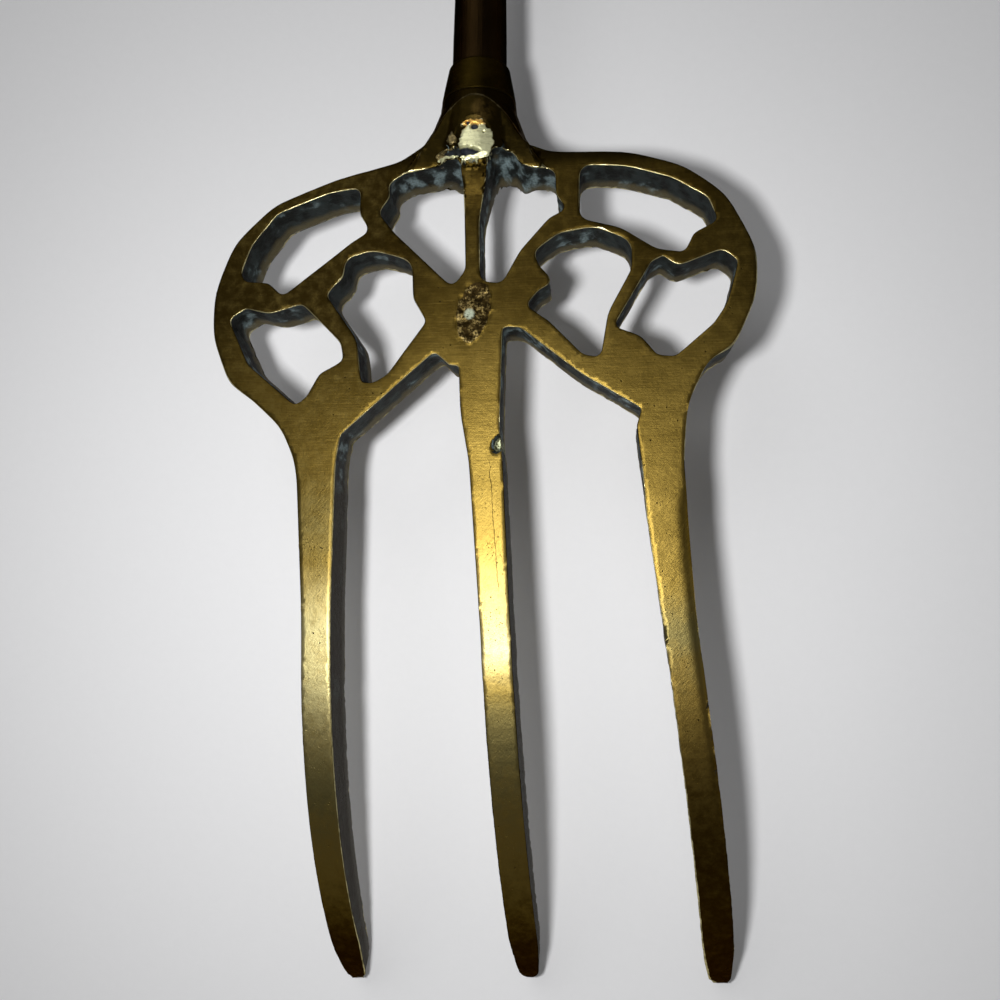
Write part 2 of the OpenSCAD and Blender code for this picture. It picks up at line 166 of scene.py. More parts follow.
class FinishSettings(PropertyGroup):
    """Colours of the worn and tarnished brass"""
    gold: FloatVectorProperty(
        name="Gold", description="Brass where hands keep it bright",
        default=(0.29, 0.2, 0.045), subtype="COLOR", min=0.0, max=1.0)
    olive: FloatVectorProperty(
        name="Olive", description="Brass under its even tarnish",
        default=(0.115, 0.076, 0.014), subtype="COLOR", min=0.0, max=1.0)
    # The tips' brown is partly fire browning and partly painted shade.
    fire_brown_and_painted_shade: FloatVectorProperty(
        name="Heat brown", description="Brass at the tips, browned by the fire",
        default=(0.035, 0.018, 0.002), subtype="COLOR", min=0.0, max=1.0)
    crust: FloatVectorProperty(
        name="Crust", description="Dark skin left by the casting sand",
        default=(0.022, 0.030, 0.030), subtype="COLOR", min=0.0, max=1.0)
    verdigris: FloatVectorProperty(
        name="Verdigris", description="Pale specks of old salts in the crust",
        default=(0.24, 0.32, 0.33), subtype="COLOR", min=0.0, max=1.0)
    braze: FloatVectorProperty(
        name="Braze", description="Pale filler metal on the neck",
        default=(0.8, 0.79, 0.48), subtype="COLOR", min=0.0, max=1.0)
    # The rod's dark brown is darkened further as painted shade.
    rod: FloatVectorProperty(
        name="Rod", description="Very dark brown patina of the handle",
        default=(0.014, 0.008, 0.003), subtype="COLOR", min=0.0, max=1.0)


class StageSettings(PropertyGroup):
    """Table and light"""
    table: FloatVectorProperty(
        name="Table", description="Colour of the pale table",
        default=(0.80, 0.80, 0.81), subtype="COLOR", min=0.0, max=1.0)
    lamp_power: FloatProperty(
        name="Lamp power", description="Power of the small lamp above the head",
        default=0.13, min=0.0, unit="POWER", precision=4)
    softbox_power: FloatProperty(
        name="Softbox power", description="Power of the large lamp to the left of the handle",
        default=1.1, min=0.0, unit="POWER")
    backdrop: FloatProperty(
        name="Backdrop", description="Brightness of the plain backdrop around the table",
        default=0.72, min=0.0, max=1.0)


def link_mesh(name, mesh):
    made = bpy.data.objects.new(name, mesh)
    bpy.context.scene.collection.objects.link(made)
    return made


def merged_copy(node):
    """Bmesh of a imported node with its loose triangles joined."""
    bm = bmesh.new()
    bm.from_mesh(frame["nodes"][node].data)
    bmesh.ops.remove_doubles(bm, verts=bm.verts, dist=0.0005 * MM)
    return bm


def slice_along(bm, axis, lows, highs, step):
    """Cuts a mesh along evenly spaced planes that stand square to one of the fork's axes."""
    for index in range(int((highs - lows) / step) + 1):
        point = BOSS + axis * (lows + index * step) * MM
        bmesh.ops.bisect_plane(
            bm, geom=bm.verts[:] + bm.edges[:] + bm.faces[:], dist=0.04 * MM, plane_co=point, plane_no=axis)


def bevel_rims(bm, width):
    """Cuts a narrow bevel along the sharp rims and marks its faces."""
    edge_layer = bm.faces.layers.float.new("edge")
    sharp = []
    for edge in bm.edges:
        if len(edge.link_faces) == 2 and edge.calc_face_angle(0.0) > math.radians(50.0) and edge.is_convex:
            sharp.append(edge)
    made = bmesh.ops.bevel(
        bm, geom=sharp, offset=width, offset_type="WIDTH", affect="EDGES", segments=1,
        profile=0.5, material=-1, clamp_overlap=False, loop_slide=False)
    for face in made["faces"]:
        face[edge_layer] = 1.0


def diced(name, node, cell, rim_width):
    """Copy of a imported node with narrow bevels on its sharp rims, cut into even cells."""
    bm = merged_copy(node)
    bmesh.ops.dissolve_limit(bm, angle_limit=math.radians(0.4), verts=bm.verts, edges=bm.edges)
    bevel_rims(bm, rim_width)
    places = to_fork(np.array([vertex.co for vertex in bm.verts]))
    lowest, highest = places.min(axis=0), places.max(axis=0)
    lowest[2] = PLATE_TOP - cell * (math.floor((PLATE_TOP - lowest[2]) / cell) + 0.13)
    for axis, low, high in zip((ACROSS, ALONG, UP), lowest, highest):
        slice_along(bm, axis, low + 0.37 * cell, high, cell)
    fine = []
    for edge in bm.edges:
        x, y, z = to_fork(np.array([(edge.verts[0].co + edge.verts[1].co) / 2]))[0]
        if z > 2.9 and any(math.hypot((x - mx) / rx, (y - my) / ry) < 1.0 for (mx, my), (rx, ry) in FINE_PATCHES):
            fine.append(edge)
    bmesh.ops.subdivide_edges(bm, edges=fine, cuts=1, use_grid_fill=True)
    bmesh.ops.triangulate(bm, faces=bm.faces, quad_method="BEAUTY", ngon_method="BEAUTY")
    bmesh.ops.dissolve_degenerate(bm, dist=0.01 * MM, edges=bm.edges)
    bmesh.ops.triangulate(bm, faces=[face for face in bm.faces if len(face.verts) > 3])
    mesh = bpy.data.meshes.new(name)
    bm.to_mesh(mesh)
    bm.free()
    mesh.shade_smooth()
    return link_mesh(name, mesh)


def even_shading(piece):
    """Keeps the broad faces flat to the eye beside the narrow bevels."""
    weigh = piece.modifiers.new("Flat faces", "WEIGHTED_NORMAL")
    weigh.mode = "FACE_AREA"
    weigh.weight = 50
    graph = bpy.context.evaluated_depsgraph_get()
    mesh = bpy.data.meshes.new_from_object(piece.evaluated_get(graph))
    piece.modifiers.clear()
    piece.data = mesh


def vertex_arrays(mesh):
    """Places and normals of a mesh's vertices along the fork's own axes, places in millimetres."""
    places = np.zeros(len(mesh.vertices) * 3)
    mesh.vertices.foreach_get("co", places)
    normals = np.zeros(len(mesh.vertices) * 3)
    mesh.vertices.foreach_get("normal", normals)
    return to_fork(places.reshape(-1, 3)), normals.reshape(-1, 3) @ np.array(FORK_AXES)


def set_places(mesh, places):
    """Moves a mesh's vertices to places given in millimetres along the fork's own axes."""
    moved = places * MM @ np.array(FORK_AXES).T + np.array(BOSS)
    mesh.vertices.foreach_set("co", moved.ravel())
    mesh.update()


def add_attribute(mesh, name, values, domain="POINT"):
    layer = mesh.attributes.new(name, "FLOAT", domain)
    layer.data.foreach_set("value", np.asarray(values, dtype=np.float32))


def bend_normals(places):
    """Direction out of the head's top face at each place: straight up, or leaning down the bent tines."""
    lean = np.arcsin(np.clip((BEND_START - places[:, 1]) / BEND_RADIUS, 0.0, 0.8))
    return np.stack([np.zeros(len(lean)), -np.sin(lean), np.cos(lean)], axis=1)


def rim_tree(side):
    """Tree of points along the rims of the head's top face (side 1) or under face (side -1)."""
    bm = merged_copy("fork_head")
    bm.normal_update()
    points = []
    for edge in bm.edges:
        if len(edge.link_faces) != 2:
            continue
        centres = np.array([face.calc_center_median() for face in edge.link_faces])
        normals = np.array([face.normal for face in edge.link_faces]) @ np.array(FORK_AXES)
        facing = side * np.sum(normals * bend_normals(to_fork(centres)), axis=1)
        if facing.max() > 0.9 and facing.min() < 0.5:
            first, last = (np.array(v.co) for v in edge.verts)
            count = max(2, int(np.linalg.norm(last - first) / (0.15 * MM)))
            points += [first + (last - first) * i / count for i in range(count)]
    bm.free()
    tree = kdtree.KDTree(len(points))
    for index, point in enumerate(to_fork(np.array(points))):
        tree.insert(point, index)
    tree.balance()
    return tree


def distances(tree, places, chosen, far=5.0):
    """Distance of each chosen place to the nearest point of a tree, and far for the others."""
    found = np.full(len(places), far)
    for index in np.nonzero(chosen)[0]:
        found[index] = tree.find(places[index])[2]
    return found


def mesh_links(mesh):
    """Pairs of vertices that a mesh's edges join."""
    ends = np.zeros(len(mesh.edges) * 2, dtype=np.int64)
    mesh.edges.foreach_get("vertices", ends)
    return ends.reshape(-1, 2)


def on_rims(mesh):
    """Tells for each vertex whether it lies on a sharp rim."""
    bm = bmesh.new()
    bm.from_mesh(mesh)
    found = np.full(len(bm.verts), False)
    for edge in bm.edges:
        if len(edge.link_faces) == 2 and edge.calc_face_angle(0.0) > math.radians(25.0):
            found[[vertex.index for vertex in edge.verts]] = True
    bm.free()
    return found


def on_bevels(mesh):
    """Tells for each vertex whether it touches the bevel of a rim."""
    edge = np.zeros(len(mesh.polygons))
    mesh.attributes["edge"].data.foreach_get("value", edge)
    corners = np.zeros(len(mesh.loops), dtype=np.int64)
    mesh.loops.foreach_get("vertex_index", corners)
    counts = np.zeros(len(mesh.polygons), dtype=np.int64)
    mesh.polygons.foreach_get("loop_total", counts)
    found = np.full(len(mesh.vertices), False)
    found[corners[np.repeat(edge > 0.5, counts)]] = True
    return found


def ease(places, links, moving, rounds):
    """Moves vertices towards the middle of their linked neighbours, across the fork and along its flat part."""
    count = len(places)
    shares = np.bincount(links.ravel(), minlength=count)
    for _ in range(rounds):
        for axis in (0, 1):
            line = places[:, axis]
            total = np.bincount(links[:, 0], weights=line[links[:, 1]], minlength=count)
            total += np.bincount(links[:, 1], weights=line[links[:, 0]], minlength=count)
            free = moving & (shares > 1) & ((axis == 0) | (places[:, 1] > BEND_START + 4.0))
            places[:, axis] = np.where(free, 0.5 * line + 0.5 * total / np.maximum(shares, 1), line)


def even_outline(mesh, opening_rounds, outline_rounds):
    """Evens the walls and rims sideways, so the outlines run smoothly and the rims stay crisp."""
    places, normals = vertex_arrays(mesh)
    facing = np.abs(np.sum(normals * bend_normals(places), axis=1))
    x, y = places[:, 0].copy(), places[:, 1].copy()
    rims = on_rims(mesh)
    beside = ((facing < 0.8) | rims) & (y < 20.0)
    from_lobe = np.stack([x - np.sign(x) * 8.0, y - 1.0], axis=1)
    outward = np.sum(normals[:, :2] * from_lobe, axis=1) > 0
    outer = outward & (np.hypot(from_lobe[:, 0] / 23.0, from_lobe[:, 1] / 17.5) > 0.85) & (y > -16.0)
    long_runs = beside & (outer | (y < -19.0))
    links = mesh_links(mesh)
    inner = rims & (facing > 0.75)
    same = inner[links[:, 0]] == inner[links[:, 1]]
    side_links = links[beside[links].all(axis=1) & same]
    ease(places, side_links, beside, opening_rounds)
    long_links = side_links[long_runs[side_links].all(axis=1)]
    ease(places, long_links, long_runs, outline_rounds - opening_rounds)
    flat = ~beside & (facing > 0.9) & (y < 10.0)
    ease(places, links[flat[links].any(axis=1)], flat, 30)
    set_places(mesh, places)


def lens(x, y, middle, reach, turn=0.0, soft=0.3):
    """Share from 1 inside an oval to 0 outside it."""
    angle = math.radians(turn)
    side = (x - middle[0]) * math.cos(angle) + (y - middle[1]) * math.sin(angle)
    long = (y - middle[1]) * math.cos(angle) - (x - middle[0]) * math.sin(angle)
    return 1.0 - smooth_step(1.0 - soft, 1.0 + soft, np.hypot(side / reach[0], long / reach[1]))


def shape_right_tine(places, ups):
    """Depth to take off the right tine's rounded flank, and how far its left wall's upper part goes outwards."""
    x, y, z = places.T
    chosen = (x > 15.0) & (y < -16.0)
    rows = np.arange(-77.0, -16.0)
    tops, lefts, rights = [], [], []
    for row in rows:
        near = chosen & (np.abs(y - row) < 0.5)
        tops.append(z[near].max())
        upper = near & (z > tops[-1] - 1.5)
        lefts.append(x[upper].min())
        rights.append(x[upper].max())
    left_line, right_line = (np.polyval(np.polyfit(rows, line, 5), y) for line in (lefts, rights))
    below = (np.interp(y, rows, tops) - z) * ups[:, 2]
    fade = smooth_step(-17.0, -24.0, y)
    sink = 0.75 * (1.0 - np.sqrt(1.0 - np.clip(1.0 - (right_line - x) / 1.15, 0.0, 0.999) ** 2))
    sink = np.clip(sink * fade - below, 0.0, 1.0)
    outwards = 0.32 * (1.0 - smooth_step(0.0, 2.2, below)) * (1.0 - smooth_step(0.0, 1.5, x - left_line))
    return np.where(chosen, sink * fade, 0.0), np.where(chosen, outwards * fade, 0.0)


def carve_head(piece, settings):
    """Gives the recast head its crusted walls, boss pit, notch, ramp and worn tine."""
    mesh = piece.data
    places, normals = vertex_arrays(mesh)
    ups = bend_normals(places)
    facing = np.sum(normals * ups, axis=1)
    x, y, z = places.T
    in_opening = (np.abs(x) < 5.6) & (y < 19.3) & (np.abs(facing) < 0.75)
    neck = np.where(in_opening, 0.0, smooth_step(17.0, 18.8, y))
    wall = (1.0 - smooth_step(0.45, 0.85, np.abs(facing))) * (1.0 - neck)
    top = np.where(on_bevels(mesh) & (facing > 0.2), 1.0, smooth_step(0.3, 0.8, facing))
    plate = smooth_step(-19.0, -14.0, y)
    rim = distances(rim_tree(1), places, facing > -0.2)
    under_rim = distances(rim_tree(-1), places, facing < 0.4)

    # Crust: coarse and fine lumps, cut into the walls only.
    coarse = noise_at(places, 2.4, 1)
    fine = noise_at(places, 0.8, 2)
    crust = wall * (0.3 + 0.7 * plate) * smooth_step(0.1, 0.9, rim)
    depth = crust * (0.5 + 0.35 * coarse + 0.45 * fine) * settings.crust_depth / MM
    ragged = (1.0 - smooth_step(0.0, 0.7, under_rim)) * (1.0 - neck)
    depth += 0.2 * ragged * np.clip(coarse + fine, 0.0, 1.0)

    # Boss pit: a ragged oval full of lumps.
    pit = lens(x, y, BOSS_PIT, (1.85, 3.5), -12.0, 0.25)
    pit = np.clip(pit + 1.2 * pit * (1.0 - pit) * (fine + coarse), 0.0, 1.0) * top
    lumps = noise_at(places, 1.0, 5) + 0.5 * noise_at(places, 0.45, 6)
    sink = pit * (0.5 + 0.8 * lumps) * settings.pit_depth / MM

    # Notch in the middle tine's right edge, and the hollow slot in the braze.
    sink += 0.85 * lens(x, y, NOTCH_PLACE, (0.6, 0.95), NOTCH_TURN) * top
    sink += 1.3 * lens(x, y, SLOT_PLACE, SLOT_REACH, SLOT_TURN) * top

    # Top face: hardly even, with the rims dipping a little where they were filed.
    sink += 0.04 * top * (1.0 + noise_at(places, 7.0, 3))
    sink += 0.05 * top * np.clip(noise_at(places, 1.3, 7), 0.0, 1.0) * (1.0 - smooth_step(0.0, 0.9, rim))
    tine_sink, outwards = shape_right_tine(places, ups)
    sink = np.clip(sink + tine_sink, -0.1, 2.6)
    moved = places - normals * depth[:, None] - ups * sink[:, None]
    moved[:, 0] -= outwards

    # The spoke runs up to the neck as a flat filed ramp.
    spoke = (np.abs(x) < 2.7) & (y > RAMP_START) & (y < RAMP_END + 0.4) & (facing > 0.35)
    ramp = PLATE_TOP + 1.15 * smooth_step(RAMP_START, RAMP_END + 0.6, y)
    ramp -= 0.04 * np.clip(noise_at(np.stack([x * 0.3, y * 3.0, x * 0.0], axis=1), 1.0, 8), 0.0, 1.0)
    moved[:, 2] = np.where(spoke, np.minimum(ramp, z + 0.9), moved[:, 2])

    # The wall under the neck leans out below the right opening's corner.
    leans = lens(x, y, (4.4, 18.2), (1.9, 2.8), 0.0, 0.8) * smooth_step(2.6, -3.6, z)
    moved[:, 1] -= 1.3 * np.where(facing > -0.3, leans, 0.0)
    set_places(mesh, moved)


def even_sides(centres, normals, chosen):
    """Sideways direction of each chosen face, evened along the rim it lies on."""
    kept = np.nonzero(chosen)[0]
    tree = kdtree.KDTree(len(kept))
    for index in kept:
        tree.insert(centres[index], index)
    tree.balance()
    evened = np.zeros((len(centres), 2))
    for index in kept:
        near = [found[1] for found in tree.find_range(centres[index], 0.9)]
        sides = normals[near, :2]
        alike = sides @ normals[index, :2] > 0.0
        total = sides[alike].sum(axis=0)
        evened[index] = total / max(np.linalg.norm(total), 1e-6)
    return evened


def by_tine(x, along, left, middle, right):
    """Value at each share of a tine's length, from one table of shares and values for each tine."""
    values = [np.interp(along, *table) for table in (left, middle, right)]
    return np.where(x < -TINE_SIDE, values[0], np.where(x > TINE_SIDE, values[2], values[1]))


def mask_head(piece):
    """Marks where the finished head is crusted, pitted or tarnished, and where it gets painted highlights and painted
    shade, for its material.
    """
    mesh = piece.data
    places, _ = vertex_arrays(mesh)
    x, y, _ = places.T
    edges = mesh.attributes["edge"].data
    edge = np.zeros(len(mesh.polygons))
    edges.foreach_get("value", edge)
    normals = np.zeros(len(mesh.polygons) * 3)
    mesh.polygons.foreach_get("normal", normals)
    normals = normals.reshape(-1, 3) @ np.array(FORK_AXES)
    centres = np.zeros(len(mesh.polygons) * 3)
    mesh.polygons.foreach_get("center", centres)
    centres = to_fork(centres.reshape(-1, 3))
    facing = np.sum(normals * bend_normals(centres), axis=1)
    in_opening = (np.abs(centres[:, 0]) < 5.9) & (centres[:, 1] < 19.5) & (np.abs(facing) < 0.7)
    nose = (np.abs(centres[:, 0]) < 1.6) & (np.abs(centres[:, 1] - 16.9) < 1.5) & (np.abs(normals[:, 0]) < 0.6)
    on_neck = nose | (centres[:, 1] > 17.2) & ~in_opening
    add_attribute(mesh, "wall", (np.abs(facing) < 0.62) & ~on_neck & (edge < 0.5), "FACE")
    flank = (centres[:, 0] > TINE_SIDE) & (centres[:, 1] < -19.0) & (normals[:, 0] > 0.1) & (facing > 0.2)
    edge = np.where(flank | nose, 0.0, edge)
    edges.foreach_set("value", edge.astype(np.float32))
    # Painted light on the rims: bright where they face the tips and on the tines' inner rims, dark on the others.
    outward = even_sides(centres, normals, (edge > 0.5) & (facing > 0.2))
    painted_rim_light = smooth_step(-0.1, 0.3, -outward[:, 1] + 0.2 * outward[:, 0])
    inward = smooth_step(-0.1, 0.3, -outward[:, 0] * np.sign(centres[:, 0])) * (np.abs(centres[:, 0]) > TINE_SIDE)
    painted_rim_light = np.where(centres[:, 1] < -17.0, inward, painted_rim_light)
    add_attribute(mesh, "painted_rim_light", painted_rim_light * (facing > 0.2) * ~on_neck, "FACE")

    rim = distances(rim_tree(1), places, np.full(len(places), True))
    under_rim = distances(rim_tree(-1), places, np.full(len(places), True))
    add_attribute(mesh, "rim_gap", rim)
    add_attribute(mesh, "under_gap", under_rim)
    ragged = 0.3 * noise_at(places, 0.9, 9)
    add_attribute(mesh, "pit", lens(x + ragged, y + ragged, BOSS_PIT, (1.85, 3.5), -12.0, 0.12))
    add_attribute(mesh, "notch", lens(x, y, NOTCH_PLACE, (0.5, 0.85), NOTCH_TURN))
    add_attribute(mesh, "slot", lens(x, y, SLOT_PLACE, SLOT_REACH, SLOT_TURN))
    add_attribute(mesh, "neck", smooth_step(16.5, 18.5, y))
    along = np.clip((-17.0 - y) / 62.0, 0.0, 1.0)
    add_attribute(mesh, "along", along)
    # Ageing along each tine, with painted shade where its highlight fades.
    add_attribute(mesh, "aged_and_painted_shade", by_tine(x, along, LEFT_AGEING_AND_PAINTED_SHADE, MIDDLE_AGEING_AND_PAINTED_SHADE, RIGHT_AGEING_AND_PAINTED_SHADE))
    # Painted highlight where the left and middle tines bend.
    add_attribute(mesh, "paleness_and_painted_highlight", by_tine(x, along, LEFT_PAINTED_HIGHLIGHT, MIDDLE_PAINTED_HIGHLIGHT, ((0.0,), (0.0,))))
    # Painted shade: darker towards the neck, on the plate's left side and on the spoke's ramp.
    spoke = (np.abs(x) < 2.9) * smooth_step(11.0, 12.5, y) * (1.0 - smooth_step(16.4, 17.0, y))
    left_painted_shade = smooth_step(-3.0, -13.0, x) * (1.0 - smooth_step(0.15, 0.28, along))
    painted_shade = 0.67 * smooth_step(-15.0, 8.0, y) + 0.4 * spoke + 0.38 * left_painted_shade
    add_attribute(mesh, "painted_shade", np.clip(painted_shade, 0.0, 0.85))


def pool_braze(head):
    """Grid laid over the neck where the filler metal ran, filed almost flush, with its slot and pits."""
    width, length, cell = 10.4, 6.6, 0.1
    bm = bmesh.new()
    bmesh.ops.create_grid(bm, x_segments=int(width / cell), y_segments=int(length / cell), size=0.5)
    tree = BVHTree.FromObject(head, bpy.context.evaluated_depsgraph_get())
    down = -UP
    missed = []
    layers = {name: bm.verts.layers.float.new(name) for name in ("slot", "gold", "bright")}
    for vertex in bm.verts:
        x = vertex.co.x * width
        y = vertex.co.y * length + 19.6
        hit = tree.ray_cast(place(x, y, 9.0), down)[0]
        surface = to_fork(np.array([hit]))[0, 2] if hit is not None else -9.0
        point = Vector((x, y, 0.0))
        wobble = 0.24 * noise.noise(point * 0.9) + 0.24 * noise.noise(point * 2.7)
        u, v = x + wobble, y + 0.9 * (wobble - 0.3 * noise.noise(point * 1.9 + Vector((4.0, 0.0, 0.0))))
        rise = 0.0
        bright = 0.0
        for middle, reach, turn, amount, paleness_and_painted_highlight in BRAZE_POOLS:
            share = float(lens(u, v, middle, reach, turn, 0.16))
            rise = max(rise, amount * share)
            bright = max(bright, paleness_and_painted_highlight * share)
        if rise < 0.06 or (surface < 2.6 and rise < 0.2):
            missed.append(vertex)
        swell_r = float(np.interp(y, (16.9, 17.9, 18.6, 26.2), (4.6, 5.3, 5.3, 4.4)))
        surface = max(surface, math.sqrt(max(swell_r ** 2 - x * x, 0.0)) if y > 17.3 else 4.2)
        streaks = noise.noise(Vector((x * 0.5, y * 3.6, 3.0)))
        rise += rise * (0.16 * noise.noise(point * 1.7) + 0.1 * noise.noise(point * 5.0) + 0.1 * streaks)
        slot = float(lens(x, y + 0.12 * noise.noise(point * 2.0), SLOT_PLACE, SLOT_REACH, SLOT_TURN, 0.16))
        holes = max(float(lens(x, y, middle, (size, 0.8 * size), 0.0, 0.4)) for middle, size in BRAZE_PITS)
        vertex[layers["slot"]] = max(slot, 0.8 * holes)
        vertex[layers["gold"]] = float(lens(x, y, (0.05, 21.65), (1.5, 0.38), -2.0, 0.12))
        vertex[layers["bright"]] = bright
        vertex.co = place(x, y, surface - 0.14 + rise - 1.2 * slot - 0.5 * holes)
        vertex.co.z = min(vertex.co.z, CAD_BOX[1][2] - 0.02 * MM)
    bmesh.ops.delete(bm, geom=missed, context="VERTS")
    skirt = bmesh.ops.extrude_face_region(bm, geom=bm.faces[:])
    lowered = [item for item in skirt["geom"] if isinstance(item, bmesh.types.BMVert)]
    bmesh.ops.translate(bm, verts=lowered, vec=down * 1.1 * MM)
    bmesh.ops.recalc_face_normals(bm, faces=bm.faces)
    mesh = bpy.data.meshes.new("braze_bead")
    bm.to_mesh(mesh)
    bm.free()
    mesh.shade_smooth()
    return link_mesh("braze_bead", mesh)


class Nodes:
    """Short forms for building one material's nodes."""

    def __init__(self, name):
        self.material = bpy.data.materials.new(name)
        self.material.use_nodes = True
        self.tree = self.material.node_tree
        self.tree.nodes.clear()
        self.shader = self.make("ShaderNodeBsdfPrincipled")
        output = self.make("ShaderNodeOutputMaterial")
        self.tree.links.new(self.shader.outputs[0], output.inputs[0])

    def make(self, kind, **settings):
        made = self.tree.nodes.new(kind)
        for key, value in settings.items():
            setattr(made, key, value)
        return made

    def feed(self, socket, value):
        if isinstance(value, bpy.types.NodeSocket):
            self.tree.links.new(value, socket)
        else:
            socket.default_value = value

    def fork_millimetres(self):
        """Place on the fork, in millimetres along its own axes."""
        coordinates = self.make("ShaderNodeTexCoord")
        mapping = self.make("ShaderNodeMapping", vector_type="TEXTURE")
        mapping.inputs["Location"].default_value = BOSS
        mapping.inputs["Rotation"].default_value = FORK_AXES.to_euler()
        mapping.inputs["Scale"].default_value = (MM, MM, MM)
        self.feed(mapping.inputs["Vector"], coordinates.outputs["Object"])
        return mapping.outputs[0]

    def stretched(self, vector, scale):
        mapping = self.make("ShaderNodeMapping", vector_type="POINT")
        mapping.inputs["Scale"].default_value = scale
        self.feed(mapping.inputs["Vector"], vector)
        return mapping.outputs[0]

    def turned(self, vector, angle):
        mapping = self.make("ShaderNodeMapping", vector_type="POINT")
        mapping.inputs["Rotation"].default_value = (0.0, 0.0, math.radians(angle))
        self.feed(mapping.inputs["Vector"], vector)
        return mapping.outputs[0]

    def noise(self, vector, scale, detail=4.0, roughness=0.55, distortion=0.0):
        made = self.make("ShaderNodeTexNoise")
        self.feed(made.inputs["Vector"], vector)
        made.inputs["Scale"].default_value = scale
        made.inputs["Detail"].default_value = detail
        made.inputs["Roughness"].default_value = roughness
        made.inputs["Distortion"].default_value = distortion
        return made.outputs["Fac"]

    def cells(self, vector, scale, spread=1.0):
        """Distance to the nearest point of an uneven net of points."""
        made = self.make("ShaderNodeTexVoronoi")
        self.feed(made.inputs["Vector"], vector)
        made.inputs["Scale"].default_value = scale
        made.inputs["Randomness"].default_value = spread
        return made.outputs["Distance"]

    def ball(self, vector, middle, reach):
        """Share from 1 at the middle of a ball to 0 at its skin."""
        mapping = self.make("ShaderNodeMapping", vector_type="TEXTURE")
        mapping.inputs["Location"].default_value = middle
        mapping.inputs["Scale"].default_value = (reach, reach, reach)
        self.feed(mapping.inputs["Vector"], vector)
        made = self.make("ShaderNodeTexGradient", gradient_type="SPHERICAL")
        self.feed(made.inputs["Vector"], mapping.outputs[0])
        return made.outputs["Fac"]

    def attribute(self, name):
        return self.make("ShaderNodeAttribute", attribute_name=name).outputs["Fac"]

    def spread(self, value, low, high, to_low=0.0, to_high=1.0):
        made = self.make("ShaderNodeMapRange", interpolation_type="SMOOTHSTEP")
        self.feed(made.inputs["Value"], value)
        made.inputs["From Min"].default_value = low
        made.inputs["From Max"].default_value = high
        made.inputs["To Min"].default_value = to_low
        made.inputs["To Max"].default_value = to_high
        return made.outputs[0]

    def maths(self, operation, first, second=0.0, clamp=False):
        made = self.make("ShaderNodeMath", operation=operation, use_clamp=clamp)
        self.feed(made.inputs[0], first)
        self.feed(made.inputs[1], second)
        return made.outputs[0]

    def blend(self, factor, first, second):
        """Mix of two colours."""
        made = self.make("ShaderNodeMix", data_type="RGBA", clamp_factor=True)
        self.feed(made.inputs[0], factor)
        self.feed(made.inputs[6], first if isinstance(first, bpy.types.NodeSocket) else (*first, 1.0))
        self.feed(made.inputs[7], second if isinstance(second, bpy.types.NodeSocket) else (*second, 1.0))
        return made.outputs[2]

    def mix(self, factor, first, second):
        """Mix of two numbers."""
        made = self.make("ShaderNodeMix", data_type="FLOAT", clamp_factor=True)
        self.feed(made.inputs[0], factor)
        self.feed(made.inputs[2], first)
        self.feed(made.inputs[3], second)
        return made.outputs[0]

    def bump(self, height, distance, strength=1.0, after=None):
        made = self.make("ShaderNodeBump")
        made.inputs["Strength"].default_value = strength
        made.inputs["Distance"].default_value = distance
        self.feed(made.inputs["Height"], height)
        if after is not None:
            self.feed(made.inputs["Normal"], after)
        return made.outputs[0]


